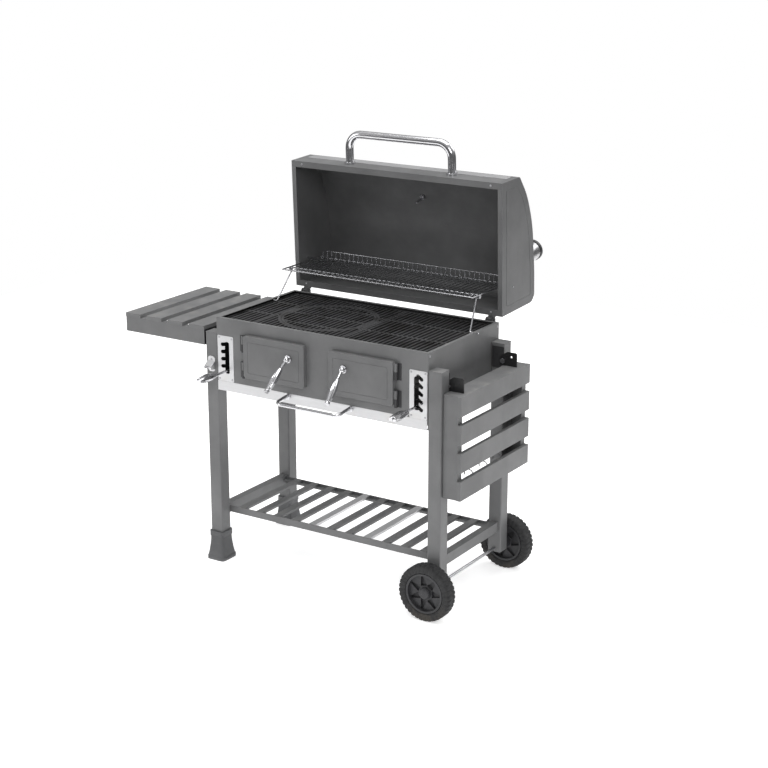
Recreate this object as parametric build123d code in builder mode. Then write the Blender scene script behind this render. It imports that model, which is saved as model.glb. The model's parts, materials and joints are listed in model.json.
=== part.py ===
"""Charcoal grill cart with a hinged hood, built as separate pieces in millimetres, +Z up."""

from math import cos, radians, sin
import os

from build123d import *

os.makedirs("parts", exist_ok=True)

# ---- driving dimensions: x runs across the front, y from front to back, z up from the floor
cook_height = 820.0
box_width = 776.0
box_depth = 420.0
box_height = 205.0
box_wall = 1.5
rim_width = 11.0
band_height = 32.0
gap = 0.5
sheet = 1.2

leg_size = 45.0
leg_wall = 2.0
leg_corner = 4.0
cap_thickness = 2.0
foot_height = 98.0
foot_width = 70.0
foot_depth = 74.0
foot_band = 14.0
foot_collar = 20.0

wheel_radius = 89.0
wheel_width = 45.0
tyre_depth = 26.0
axle_radius = 5.0
running_fit = 0.05
hub_radius = 19.0
spoke_count = 7

shelf_top = 176.0
shelf_rail_height = 22.0
shelf_side_height = 32.0
shelf_rail_width = 20.0
slat_count = 11
slat_width = 25.0
slat_thickness = 8.0

door_width = 230.0
door_height = 136.0
door_depth = 16.0
door_centre_x = 160.0
door_lap = 15.0

plate_width = 61.0
slot_width = 17.0
lift_radius = 4.0

grate_thick = 10.0
bar_pitch = 17.0
bar_width = 7.0
insert_x = -105.0
insert_radius = 150.0

lid_sheet = 1.2
lid_height = 420.0
lid_lean = 2.3
lid_gap = 3.0
lid_flange = 20.0
lid_side_flange = 14.0
lid_hinge_pin = 4.0

rack_fence = 20.0
rack_wire = 2.5

table_reach = 321.0
table_near = 14.5
table_high = 64.5
table_low = 3.0
table_slat = 12.5
table_slat_width = 60.0
table_slats = 4
table_y = 8.0
table_rail = 25.0

# ---- values that follow from them
half_box = box_width / 2
panel_bottom = cook_height - box_height
leg_x = half_box + leg_size / 2
leg_top = cook_height - 53.0
rear_leg_y = box_depth - leg_size / 2
front_leg_y = leg_size / 2
axle_z = wheel_radius
leg_low = axle_z - 11.0
band_top = panel_bottom - gap
band_low = panel_bottom - band_height
wall_low = band_low + 2.0
door_centre_z = panel_bottom + 96.0
latch_x = door_centre_x - door_width / 2 + 57.0
latch_z = door_centre_z + 20.0
hinge_x = door_centre_x + door_width / 2 + 6.0
plate_inner_x = half_box - 64.0
slot_x = plate_inner_x + 24.5
slot_low = panel_bottom + 26.0
slot_high = panel_bottom + 129.0
lift_z = panel_bottom + 36.0
lift_pivot_y = box_depth - 20.0
grate_top = cook_height - 9.0
lid_half = half_box + 2.5
hood_pivot_y = box_depth + 13.0
hood_pivot_z = cook_height
hood_hinge_x = half_box - 38.0
rack_half = lid_half - 36.5
rack_z = hood_pivot_z + 96.0
rack_pivot_y = hood_pivot_y + 68.0
rack_front = rack_pivot_y - 192.0
rack_back = rack_pivot_y + 22.0
rack_leg_y = hood_pivot_y - 147.0
rack_leg_z = cook_height - 5.0
rack_leg_x = half_box - 26.0
rack_leg_top_x = rack_half - 8.5
table_pivot_x = half_box + leg_size - 1.5
table_pivot_z = leg_top - 51.5


def slab(x, y, z, mode=Mode.ADD):
    """A block between two values on each axis."""
    with Locations(((x[0] + x[1]) / 2, (y[0] + y[1]) / 2, (z[0] + z[1]) / 2)):
        Box(abs(x[1] - x[0]), abs(y[1] - y[0]), abs(z[1] - z[0]), mode=mode)


def plate(x, y, z):
    """A block that stays a solid of its own."""
    middle = Location(((x[0] + x[1]) / 2, (y[0] + y[1]) / 2, (z[0] + z[1]) / 2))
    return middle * Box(abs(x[1] - x[0]), abs(y[1] - y[0]), abs(z[1] - z[0]))


def rod_x(radius, x, y, z, mode=Mode.ADD):
    """A round bar along X."""
    with Locations(((x[0] + x[1]) / 2, y, z)):
        Cylinder(radius, abs(x[1] - x[0]), rotation=(0, 90, 0), mode=mode)


def rod_y(radius, x, y, z, mode=Mode.ADD):
    """A round bar along Y."""
    with Locations((x, (y[0] + y[1]) / 2, z)):
        Cylinder(radius, abs(y[1] - y[0]), rotation=(90, 0, 0), mode=mode)


def rod_z(radius, x, y, z, mode=Mode.ADD):
    """A round bar along Z."""
    with Locations((x, y, (z[0] + z[1]) / 2)):
        Cylinder(radius, abs(z[1] - z[0]), mode=mode)


def ball(radius, x, y, z):
    """A ball that rounds the corner where two bars meet."""
    with Locations((x, y, z)):
        Sphere(radius)


pieces = {}


def keep(builder, name):
    """Labels a finished piece and puts it with the others."""
    builder.part.label = name
    pieces[name] = builder.part


# ---- legs, caps and feet
leg_places = {
    "leg_front_left": (-leg_x, front_leg_y, cap_thickness + 18.0),
    "leg_rear_left": (-leg_x, rear_leg_y, cap_thickness + 18.0),
    "leg_front_right": (leg_x, front_leg_y, leg_low + cap_thickness),
    "leg_rear_right": (leg_x, rear_leg_y, leg_low + cap_thickness),
}
tube_top = leg_top - cap_thickness
tube_inner = leg_size - 2 * leg_wall

for leg_name, (x, y, low) in leg_places.items():
    with BuildPart() as leg:
        with BuildSketch(Plane.XY.offset(low)):
            with Locations((x, y)):
                RectangleRounded(leg_size, leg_size, leg_corner)
                Rectangle(tube_inner, tube_inner, mode=Mode.SUBTRACT)
        extrude(amount=tube_top - low)
        if x > 0:
            rod_y(axle_radius + 0.1, x, (y - leg_size, y + leg_size), axle_z, Mode.SUBTRACT)
    keep(leg, leg_name)

with BuildPart() as leg_caps:
    for leg_name, (x, y, low) in leg_places.items():
        slab_half = leg_size / 2 - 0.3
        slab((x - slab_half, x + slab_half), (y - slab_half, y + slab_half), (tube_top, leg_top))
        plug_half = tube_inner / 2 - 0.2
        slab((x - plug_half, x + plug_half), (y - plug_half, y + plug_half), (tube_top - 10, tube_top))
        if x > 0:
            slab((x - slab_half, x + slab_half), (y - slab_half, y + slab_half), (leg_low, low))
            slab((x - plug_half, x + plug_half), (y - plug_half, y + plug_half), (low, low + 4))
keep(leg_caps, "leg_caps")

with BuildPart() as feet:
    for y in (front_leg_y, rear_leg_y):
        slab((-leg_x - foot_width / 2, -leg_x + foot_width / 2), (y - foot_depth / 2, y + foot_depth / 2),
             (0, foot_band))
        with BuildSketch(Plane.XY.offset(foot_band)):
            with Locations((-leg_x, y)):
                Rectangle(foot_width - 2, foot_depth - 2)
        with BuildSketch(Plane.XY.offset(foot_height - foot_collar)):
            with Locations((-leg_x, y)):
                Rectangle(leg_size + 5, leg_size + 5)
        loft()
        collar = leg_size / 2 + 4
        slab((-leg_x - collar, -leg_x + collar), (y - collar, y + collar),
             (foot_height - foot_collar, foot_height))
        pocket = leg_size / 2 + 0.1
        slab((-leg_x - pocket, -leg_x + pocket), (y - pocket, y + pocket),
             (cap_thickness + 18.0, foot_height + 1), Mode.SUBTRACT)
keep(feet, "feet")

# ---- firebox: front, back and side panels with turned-in rims
opening_width = door_width - 2 * door_lap
opening_height = door_height - 26.0
with BuildPart() as firebox_front:
    with BuildSketch(Plane.XZ):
        with Locations((0, (panel_bottom + cook_height) / 2)):
            Rectangle(box_width, cook_height - panel_bottom)
        with Locations((-door_centre_x, door_centre_z), (door_centre_x, door_centre_z)):
            RectangleRounded(opening_width, opening_height, 6, mode=Mode.SUBTRACT)
        with Locations((-slot_x - 7, (slot_low + slot_high) / 2), (slot_x + 7, (slot_low + slot_high) / 2)):
            Rectangle(slot_width + 22, slot_high - slot_low + 8, mode=Mode.SUBTRACT)
    extrude(amount=-box_wall)
    slab((-half_box + box_wall, half_box - box_wall), (0, rim_width), (cook_height - box_wall, cook_height))
keep(firebox_front, "firebox_front")

with BuildPart() as firebox_back:
    slab((-half_box, half_box), (box_depth - box_wall, box_depth), (wall_low, cook_height))
    slab((-half_box + box_wall, half_box - box_wall), (box_depth - rim_width, box_depth),
         (cook_height - box_wall, cook_height))
keep(firebox_back, "firebox_back")

for side, side_name in ((-1, "firebox_side_left"), (1, "firebox_side_right")):
    with BuildPart() as firebox_side:
        outer = side * half_box
        inner = side * (half_box - box_wall)
        slab((inner, outer), (box_wall, box_depth - box_wall), (wall_low, cook_height - box_wall))
        slab((inner, side * (half_box - rim_width)), (rim_width + 0.2, box_depth - rim_width - 0.2),
             (cook_height - box_wall, cook_height))
        slab((inner, outer), (rim_width + 0.2, box_depth - rim_width - 0.2),
             (cook_height - box_wall, cook_height))
        slab((inner, side * (half_box - rim_width)), (box_wall, 2 * box_wall),
             (panel_bottom, cook_height - box_wall))
        slab((inner, side * (half_box - rim_width)), (box_depth - 2 * box_wall, box_depth - box_wall),
             (wall_low, cook_height - box_wall))
        slab((inner, side * (half_box - rim_width)), (rim_width + 0.2, box_depth - rim_width - 0.2),
             (cook_height - 2 * box_wall, cook_height - box_wall), Mode.SUBTRACT)
        rod_x(rack_wire + running_fit, (side * (half_box - 18), side * (half_box + 12)),
              rack_leg_y, rack_leg_z, Mode.SUBTRACT)
    keep(firebox_side, side_name)

# ---- ledges that carry the grates and the runners of the ash drawer
ledge_top = grate_top - grate_thick
runner_top = band_top - 5.0
with BuildPart() as inner_rails:
    ledge_half = half_box - rim_width - 4
    slab((-ledge_half, ledge_half), (box_wall, 16), (ledge_top - box_wall, ledge_top))
    slab((-ledge_half, ledge_half), (box_wall, 2 * box_wall), (ledge_top - 14, ledge_top - box_wall))
    slab((-ledge_half, ledge_half), (box_depth - 16, box_depth - box_wall), (ledge_top - box_wall, ledge_top))
    slab((-ledge_half, ledge_half), (box_depth - 2 * box_wall, box_depth - box_wall),
         (ledge_top - 14, ledge_top - box_wall))
    for side in (-1, 1):
        inner = side * (half_box - box_wall)
        slab((inner, side * (half_box - 17)), (20, box_depth - 20), (runner_top - box_wall, runner_top))
        slab((inner, side * (half_box - 2 * box_wall)), (20, box_depth - 20),
             (runner_top - 12, runner_top - box_wall))
keep(inner_rails, "inner_rails")

# ---- ash drawer: tray, bright front band and pull bar
tray_half = half_box - 20
tray_front = 14.0
tray_back = box_depth - 15
tray_low = band_low + 5.0
tray_lip = 12.0
lip_low = runner_top + gap
wall_z = (tray_low + sheet, lip_low + sheet)
tray_plates = [plate((-tray_half, tray_half), (tray_front, tray_back), (tray_low, tray_low + sheet))]
for wall_y in (tray_front, tray_back - sheet):
    tray_plates.append(plate((-tray_half, tray_half), (wall_y, wall_y + sheet), wall_z))
for side in (-1, 1):
    tray_plates.append(plate((side * (tray_half - sheet), side * tray_half),
                             (tray_front + sheet, tray_back - sheet), wall_z))
    tray_plates.append(plate((side * tray_half, side * (tray_half + tray_lip)),
                             (tray_front + 8, tray_back), (lip_low, lip_low + sheet)))
pieces["ash_tray"] = Compound(children=tray_plates)

with BuildPart() as ash_drawer_front:
    slab((-half_box, half_box - 3), (0, sheet), (band_low, band_top))
    slab((-half_box + 4, half_box - 5), (sheet, tray_front), (band_low, band_low + sheet))
    slab((-half_box + 4, half_box - 5), (sheet, tray_front), (band_top - sheet, band_top))
keep(ash_drawer_front, "ash_drawer_front")

pull_half = 116.0
pull_reach = 70.0
pull_z = panel_bottom - 7.0
pull_radius = 5.5
with BuildPart() as drawer_pull:
    with BuildLine():
        FilletPolyline(
            (-pull_half, -4, pull_z), (-pull_half, -pull_reach, pull_z - 8),
            (pull_half, -pull_reach, pull_z - 8), (pull_half, -4, pull_z), radius=22)
    with BuildSketch(Plane(origin=(-pull_half, -4, pull_z), z_dir=(0, -pull_reach + 4, -8))):
        Circle(pull_radius)
    sweep()
    for x in (-pull_half, pull_half):
        rod_y(9.0, x, (-6, 0), band_top - 9.5)
keep(drawer_pull, "drawer_pull")

# ---- slot plates with the notches that hold the coal lifts
plate_low = panel_bottom + 0.2
plate_high = panel_bottom + 148.0
notch_pitch = 23.5
slot_notches = {-1: (4, panel_bottom + 120.5, 10.0), 1: (5, panel_bottom + 126.5, 35.0)}
with BuildPart() as slot_plates:
    for side, (notches, first_z, droop) in slot_notches.items():
        with BuildSketch(Plane.XZ):
            with Locations((side * (plate_inner_x + plate_width / 2), (plate_low + plate_high) / 2)):
                RectangleRounded(plate_width, plate_high - plate_low, 4)
            with Locations((side * slot_x, (slot_low + slot_high) / 2)):
                RectangleRounded(slot_width, slot_high - slot_low, 6, mode=Mode.SUBTRACT)
            for notch in range(notches):
                notch_z = first_z - notch * notch_pitch
                with Locations((side * (slot_x + 11), notch_z)):
                    SlotOverall(27, 12, rotation=-side * droop, mode=Mode.SUBTRACT)
        extrude(amount=sheet)
keep(slot_plates, "slot_plates")

# ---- doors, their fixed hinge leaves, and the turning latch levers
barrel_radius = 5.0
hinge_pin = 2.5
hinge_y = -8.0
hinge_rows = ((door_centre_z - 72.0, door_centre_z - 20.0), (door_centre_z + 12.0, door_centre_z + 64.0))
door_front = -door_depth
for side, word in ((-1, "left"), (1, "right")):
    with BuildPart() as door:
        with BuildSketch(Plane.XZ.offset(0.3)):
            with Locations((side * door_centre_x, door_centre_z)):
                RectangleRounded(door_width, door_height, 9)
        extrude(amount=door_depth - 0.3)
        fillet(door.faces().sort_by(Axis.Y)[0].edges(), 2)
        with BuildSketch(Plane.XZ.offset(0.3)):
            with Locations((side * door_centre_x, door_centre_z)):
                RectangleRounded(door_width - 3, door_height - 3, 7.5)
        extrude(amount=door_depth - 0.3 - 1.5, mode=Mode.SUBTRACT)
        with BuildSketch(Plane.XZ.offset(door_depth - 0.6)):
            with Locations((side * door_centre_x, door_centre_z)):
                RectangleRounded(door_width - 34, door_height - 34, 6)
                RectangleRounded(door_width - 39, door_height - 39, 5, mode=Mode.SUBTRACT)
        extrude(amount=1.0, mode=Mode.SUBTRACT)
        rod_y(7.0, side * latch_x, (door_front + 1.4, door_front + 8), latch_z)
        rod_y(5.0 + running_fit, side * latch_x, (door_front - 1, 1), latch_z, Mode.SUBTRACT)
        for low, high in hinge_rows:
            middle = (low + high) / 2 + 0.3
            rod_z(barrel_radius, side * hinge_x, hinge_y, (middle, high))
            slab((side * (hinge_x - 7), side * hinge_x), (hinge_y - 3, hinge_y + 1), (middle, high))
            rod_z(hinge_pin + running_fit, side * hinge_x, hinge_y, (middle - 1, high + 1), Mode.SUBTRACT)
    keep(door, "door_" + word)

    spindle_front = door_front - 10.0
    lever_drop = 81.0
    lever_reach = 94.0
    lever_lean = 9.0
    start = Vector(side * latch_x, spindle_front, latch_z)
    lever_line = Vector(side * lever_lean, -lever_reach, -lever_drop)
    lever_length = lever_line.length
    lever_side = Vector(1, 0, 0).cross(lever_line).normalized()
    with BuildPart() as latch:
        rod_y(5.0, side * latch_x, (spindle_front, 8), latch_z)
        rod_y(12.0, side * latch_x, (door_front - 4.3, door_front - 0.3), latch_z)
        ball(9.5, side * latch_x, spindle_front, latch_z)
        with BuildSketch(Plane(origin=start, x_dir=lever_side, z_dir=lever_side.cross(lever_line))):
            with BuildLine():
                Polyline((0, 0), (4.5, 0), (4.5, 32), (6.5, 36))
                ThreePointArc((6.5, 36), (10, 0.6 * lever_length), (6.5, lever_length - 9))
                Polyline((6.5, lever_length - 9), (8, lever_length - 6), (8, lever_length), (0, lever_length),
                         (0, 0))
            make_face()
        revolve(axis=Axis(start, lever_line))
        slab((side * latch_x - 6, side * latch_x + 6), (3, 6), (latch_z - 50, latch_z + 7))
    keep(latch, "latch_lever_" + word)

with BuildPart() as door_hinge_leaves:
    for side in (-1, 1):
        for low, high in hinge_rows:
            middle = (low + high) / 2 - 0.3
            slab((side * (hinge_x - 4), side * (hinge_x + 15)), (-1.4, 0), (low, high))
            slab((side * (hinge_x - 3), side * (hinge_x + 3)), (hinge_y, -1.4), (low, middle))
            rod_z(barrel_radius, side * hinge_x, hinge_y, (low, middle))
            rod_z(hinge_pin, side * hinge_x, hinge_y, (low, high + 1.5))
keep(door_hinge_leaves, "door_hinge_leaves")

# ---- coal lifts: a frame on a rear pivot, its front lever with a turned grip, and the coal pan
lift_near = 30.0
pan_front = 50.0
pan_back = box_depth - 48.0
pan_near = 20.0
pan_far = half_box - 50.0
pan_height = 35.0
pan_sheet = 1.5
grip_back = -62.0
grip_front = -143.0
for side, word in ((-1, "left"), (1, "right")):
    x_out = side * slot_x
    x_in = side * lift_near
    with BuildPart() as lift:
        rod_y(lift_radius, x_out, (grip_back, lift_pivot_y), lift_z)
        rod_x(lift_radius, (side * (pan_far - 22), side * (slot_x + lift_radius)), lift_pivot_y, lift_z)
        for y in (pan_front + 20, pan_back - 20):
            rod_x(lift_radius, (x_in, x_out), y, lift_z)
        rod_y(lift_radius, x_in, (pan_front + 20, pan_back - 20), lift_z)
        ball(lift_radius, x_in, pan_front + 20, lift_z)
        ball(lift_radius, x_in, pan_back - 20, lift_z)
        with BuildSketch(Plane(origin=(x_out, 0, lift_z), x_dir=(1, 0, 0), z_dir=(0, 0, 1))):
            with BuildLine():
                Polyline((0, grip_back + 6), (6, grip_back + 6), (6, grip_back))
                ThreePointArc((6, grip_back), (11, (grip_back + grip_front) / 2 - 4), (7, grip_front + 4))
                Polyline((7, grip_front + 4), (6, grip_front), (0, grip_front), (0, grip_back + 6))
            make_face()
        revolve(axis=Axis((x_out, 0, lift_z), (0, 1, 0)))
    keep(lift, "coal_lift_" + word)

    with BuildPart() as pan:
        pan_low = lift_z + lift_radius
        slab((side * pan_near, side * pan_far), (pan_front, pan_back), (pan_low, pan_low + pan_height))
        slab((side * (pan_near + pan_sheet), side * (pan_far - pan_sheet)),
             (pan_front + pan_sheet, pan_back - pan_sheet),
             (pan_low + pan_sheet, pan_low + pan_height + 1), Mode.SUBTRACT)
        with BuildSketch(Plane.XY.offset(pan_low - 0.5)):
            with Locations((side * (pan_near + pan_far) / 2, (pan_front + pan_back) / 2)):
                with GridLocations(24, 140, 12, 2):
                    SlotOverall(110, 9, rotation=90)
        extrude(amount=pan_sheet + 1, mode=Mode.SUBTRACT)
    keep(pan, "coal_pan_" + word)

with BuildPart() as lift_pivots:
    for side in (-1, 1):
        slab((side * (pan_far - 20), side * (pan_far + 4)), (box_depth - box_wall - 2, box_depth - box_wall),
             (lift_z - 14, lift_z + 14))
        for x in (pan_far - 18, pan_far - 3):
            slab((side * x, side * (x + 4)), (lift_pivot_y - 8, box_depth - box_wall - 2),
                 (lift_z - 9, lift_z + 9))
        rod_x(lift_radius + running_fit, (side * (pan_far - 28), side * (pan_far + 5)),
              lift_pivot_y, lift_z, Mode.SUBTRACT)
keep(lift_pivots, "lift_pivots")

# ---- cooking grates, with a round lift-out insert in the middle one
grate_low = grate_top - grate_thick
grate_front = 4.0
grate_back = box_depth - 4.0
grate_edge = half_box - 4.0
insert_half = insert_radius + 15
splits = (-grate_edge, insert_x - insert_half, insert_x + insert_half, grate_edge)
rib_places = (150.0, 288.0)


def bar_field(x_low, x_high, y_low, y_high):
    """Frame, evenly pitched bars and cross ribs of one grate, as a flat sketch."""
    middle_y = (y_low + y_high) / 2
    with Locations(((x_low + x_high) / 2, middle_y)):
        Rectangle(x_high - x_low, y_high - y_low)
        Rectangle(x_high - x_low - 16, y_high - y_low - 16, mode=Mode.SUBTRACT)
    bars = int((x_high - x_low - 16) / bar_pitch)
    with Locations(((x_low + x_high) / 2, middle_y)):
        with GridLocations(bar_pitch, 1, bars, 1):
            Rectangle(bar_width, y_high - y_low - 2)
    with Locations(((x_low + x_high) / 2, rib_places[0]), ((x_low + x_high) / 2, rib_places[1])):
        Rectangle(x_high - x_low - 2, 8)


for index, word in enumerate(("left", "middle", "right")):
    x_low = splits[index] + (1.0 if index else 0.0)
    x_high = splits[index + 1] - (1.0 if index < 2 else 0.0)
    with BuildPart() as grate:
        with BuildSketch(Plane.XY.offset(grate_low)):
            bar_field(x_low, x_high, grate_front, grate_back)
            if word == "middle":
                with Locations((insert_x, box_depth / 2)):
                    Circle(insert_radius + 10)
                    Circle(insert_radius + 1, mode=Mode.SUBTRACT)
        extrude(amount=grate_thick)
        if word == "middle":
            with BuildSketch(Plane.XY.offset(grate_low)):
                with Locations((insert_x, box_depth / 2)):
                    Circle(insert_radius + 4)
                    Circle(insert_radius - 7, mode=Mode.SUBTRACT)
            extrude(amount=3)
    keep(grate, "grate_" + word)

with BuildPart() as grate_round:
    with BuildSketch(Plane.XY.offset(grate_low + 3)):
        with Locations((insert_x, box_depth / 2)):
            Circle(insert_radius)
            Circle(insert_radius - 8, mode=Mode.SUBTRACT)
        with BuildSketch(mode=Mode.PRIVATE) as insert_bars:
            with Locations((insert_x, box_depth / 2)):
                with GridLocations(bar_pitch, 1, 17, 1):
                    Rectangle(bar_width, 2 * insert_radius)
                with GridLocations(1, 100, 1, 3):
                    Rectangle(2 * insert_radius, 8)
                Circle(insert_radius - 4, mode=Mode.INTERSECT)
        add(insert_bars.sketch)
    extrude(amount=grate_thick - 3)
keep(grate_round, "grate_round_insert")

# ---- hood: u is its depth and v its height, in a plane that leans with the open hood
mouth_y = hood_pivot_y + lid_gap
mouth_z = hood_pivot_z + (hood_pivot_y - box_depth)
lean = radians(lid_lean)
deep_dir = Vector(0, cos(lean), sin(lean))
high_dir = Vector(0, -sin(lean), cos(lean))
pivot = Vector(0, hood_pivot_y, hood_pivot_z)
mouth_low = pivot + deep_dir * (mouth_y - hood_pivot_y) + high_dir * (mouth_z - hood_pivot_z)


def hood_point(x, deep, high):
    """A point of the hood, given from its lower mouth edge."""
    return mouth_low + deep_dir * deep + high_dir * high + Vector(x, 0, 0)


def hood_plane(x):
    """The profile plane of the hood at one place across it."""
    return Plane(origin=hood_point(x, 0, 0), x_dir=deep_dir, z_dir=(1, 0, 0))


hood_profile = [
    (0, 0), (210, 0), (209.5, 100), (196, 252), (162, 350), (111, lid_height), (0, lid_height)]
hood_radii = [30, 500, 350, 250, 12]


chimney_x = lid_half - 55.5
chimney_high = 130.0
chimney_radius = 32.0
chimney_wall = 1.5
chimney_length = 98.0
facet = Vector(*hood_profile[2]) - Vector(*hood_profile[3])
facet_out = Vector(-facet.Y, facet.X).normalized()
along = (hood_profile[3][1] - chimney_high) / (hood_profile[3][1] - hood_profile[2][1])
chimney_deep = hood_profile[3][0] + facet.X * along
chimney_axis = deep_dir * facet_out.X + high_dir * facet_out.Y
chimney_foot = hood_point(chimney_x, chimney_deep, chimney_high)
dial_face = Vector(*hood_profile[3]) - Vector(*hood_profile[4])
dial_out = Vector(-dial_face.Y, dial_face.X).normalized()
dial_deep = hood_profile[4][0] + dial_face.X * 0.46
dial_high = hood_profile[4][1] + dial_face.Y * 0.46
dial_axis = deep_dir * dial_out.X + high_dir * dial_out.Y
dial_foot = hood_point(0, dial_deep, dial_high)

with BuildPart() as hood_shell:
    shell_half = lid_half - box_wall
    with BuildSketch(hood_plane(-shell_half)):
        with BuildLine():
            shell_line = FilletPolyline(*hood_profile, radius=hood_radii)
            Line(shell_line @ 1, shell_line @ 0)
        make_face()
        offset(amount=-lid_sheet, mode=Mode.SUBTRACT)
        with Locations((0, lid_height / 2)):
            Rectangle(10, lid_height - 2 * lid_flange, mode=Mode.SUBTRACT)
    extrude(amount=2 * shell_half)
    with BuildSketch(Plane(origin=chimney_foot - chimney_axis * 8, z_dir=chimney_axis)):
        Circle(chimney_radius - 3)
    extrude(amount=16, mode=Mode.SUBTRACT)
    with BuildSketch(Plane(origin=dial_foot - dial_axis * 8, z_dir=dial_axis)):
        Circle(5)
    extrude(amount=16, mode=Mode.SUBTRACT)
keep(hood_shell, "hood_shell")

for side, word in ((-1, "left"), (1, "right")):
    end_start = -lid_half if side < 0 else lid_half - box_wall
    with BuildPart() as hood_end:
        with BuildSketch(hood_plane(end_start)):
            with BuildLine():
                end_line = FilletPolyline(*hood_profile, radius=hood_radii)
                Line(end_line @ 1, end_line @ 0)
            make_face()
        extrude(amount=box_wall)
        with BuildSketch(hood_plane(end_start if side < 0 else lid_half - 0.7)):
            with BuildLine():
                inset_line = FilletPolyline(*hood_profile, radius=hood_radii)
                Line(inset_line @ 1, inset_line @ 0)
            make_face()
            offset(amount=-26, mode=Mode.REPLACE)
            offset(amount=-2.5, mode=Mode.SUBTRACT)
        extrude(amount=0.7, mode=Mode.SUBTRACT)
        flange_start = -lid_half + box_wall if side < 0 else lid_half - box_wall - lid_side_flange
        with BuildSketch(hood_plane(flange_start)):
            with Locations((lid_sheet / 2, lid_height / 2)):
                Rectangle(lid_sheet, lid_height - 2 * lid_flange - 0.4)
        extrude(amount=lid_side_flange)
        rod_x(rack_wire + running_fit, (side * (lid_half - 20), side * (lid_half + 10)), rack_pivot_y, rack_z,
              Mode.SUBTRACT)
    keep(hood_end, "hood_end_" + word)

trim_half = lid_half - 21.5
trim_width = 36.0
trim_sheet = 1.0
with BuildPart() as hood_trim:
    with BuildSketch(hood_plane(-trim_half)):
        with Locations((80, lid_height + trim_sheet / 2)):
            Rectangle(trim_width, trim_sheet)
    extrude(amount=2 * trim_half)
keep(hood_trim, "hood_trim")

handle_half = 190.0
handle_deep = 42.0
handle_rise = 97.0
handle_radius = 12.8
handle_wall = 1.5
handle_flange = 17.5
handle_base = lid_height + 6
with BuildPart() as hood_handle:
    handle_plane = Plane(origin=hood_point(0, handle_deep, 0), x_dir=(1, 0, 0), z_dir=-deep_dir)
    with BuildLine(handle_plane):
        FilletPolyline(
            (-handle_half, handle_base), (-handle_half, lid_height + handle_rise),
            (handle_half, lid_height + handle_rise), (handle_half, handle_base), radius=47)
    with BuildSketch(Plane(origin=hood_point(-handle_half, handle_deep, handle_base), z_dir=high_dir)):
        Circle(handle_radius)
        Circle(handle_radius - handle_wall, mode=Mode.SUBTRACT)
    sweep()
    for x in (-handle_half, handle_half):
        with BuildSketch(Plane(origin=hood_point(x, handle_deep, lid_height), z_dir=high_dir)):
            Circle(handle_flange)
        extrude(amount=handle_base - lid_height)
keep(hood_handle, "hood_handle")


with BuildPart() as thermometer:
    with BuildSketch(Plane(origin=dial_foot + dial_axis * 0.2, z_dir=dial_axis)):
        Circle(34)
    extrude(amount=13)
    fillet(thermometer.edges().filter_by(GeomType.CIRCLE), 3)
    with BuildSketch(Plane(origin=dial_foot - dial_axis * 42, z_dir=dial_axis)):
        Circle(3)
    extrude(amount=46)
    with BuildSketch(Plane(origin=dial_foot - dial_axis * (lid_sheet + 7), z_dir=dial_axis)):
        RegularPolygon(9, 6)
    extrude(amount=6.5)
keep(thermometer, "thermometer")

vent_ring = 17.0
vent_hole = 7.0
with BuildPart() as chimney:
    with BuildSketch(Plane(origin=chimney_foot + chimney_axis * 0.1, z_dir=chimney_axis)):
        Circle(chimney_radius)
        Circle(chimney_radius - chimney_wall, mode=Mode.SUBTRACT)
    extrude(amount=chimney_length)
    with BuildSketch(Plane(origin=chimney_foot + chimney_axis * (chimney_length - 1.4), z_dir=chimney_axis)):
        Circle(chimney_radius)
        Circle(3 + running_fit, mode=Mode.SUBTRACT)
        with PolarLocations(vent_ring, 4):
            Circle(vent_hole, mode=Mode.SUBTRACT)
    extrude(amount=chimney_wall)
keep(chimney, "chimney")

with BuildPart() as chimney_cap:
    with BuildSketch(Plane(origin=chimney_foot + chimney_axis * (chimney_length + gap), z_dir=chimney_axis)):
        Circle(chimney_radius + 2)
        with PolarLocations(vent_ring, 4):
            Circle(vent_hole, mode=Mode.SUBTRACT)
    extrude(amount=2)
    with BuildSketch(Plane(origin=chimney_foot + chimney_axis * (chimney_length - 8), z_dir=chimney_axis)):
        Circle(chimney_radius + 2)
        Circle(chimney_radius + gap, mode=Mode.SUBTRACT)
    extrude(amount=8 + gap)
    with BuildSketch(Plane(origin=chimney_foot + chimney_axis * (chimney_length - 8), z_dir=chimney_axis)):
        Circle(3)
    extrude(amount=9)
keep(chimney_cap, "chimney_cap")

# ---- hood hinges: ears with pins on the firebox, knuckles on the hood
with BuildPart() as hood_hinge_ears:
    for side in (-1, 1):
        x_mid = side * hood_hinge_x
        slab((x_mid - 16, x_mid + 16), (box_depth, box_depth + 2.5), (hood_pivot_z - 42, hood_pivot_z - 4))
        for x in (x_mid - 14, x_mid + 10):
            slab((x, x + 4), (box_depth, hood_pivot_y + 8), (hood_pivot_z - 30, hood_pivot_z))
            rod_x(8, (x, x + 4), hood_pivot_y, hood_pivot_z)
        rod_x(lid_hinge_pin, (x_mid - 16, x_mid + 16), hood_pivot_y, hood_pivot_z)
keep(hood_hinge_ears, "hood_hinge_ears")

with BuildPart() as hood_knuckles:
    for side in (-1, 1):
        x_start = side * hood_hinge_x - 9
        pivot_deep = hood_pivot_y - mouth_y
        pivot_high = hood_pivot_z - mouth_z
        with BuildSketch(hood_plane(x_start)):
            with Locations((pivot_deep, pivot_high)):
                Circle(8)
            with BuildLine():
                Polyline((pivot_deep - 5, pivot_high), (pivot_deep + 7, pivot_high), (22, -2.5), (48, -2.5),
                         (48, 0), (0, 0), (pivot_deep - 5, pivot_high))
            make_face()
            with Locations((pivot_deep, pivot_high)):
                Circle(lid_hinge_pin + running_fit, mode=Mode.SUBTRACT)
        extrude(amount=18)
keep(hood_knuckles, "hood_knuckles")

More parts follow.
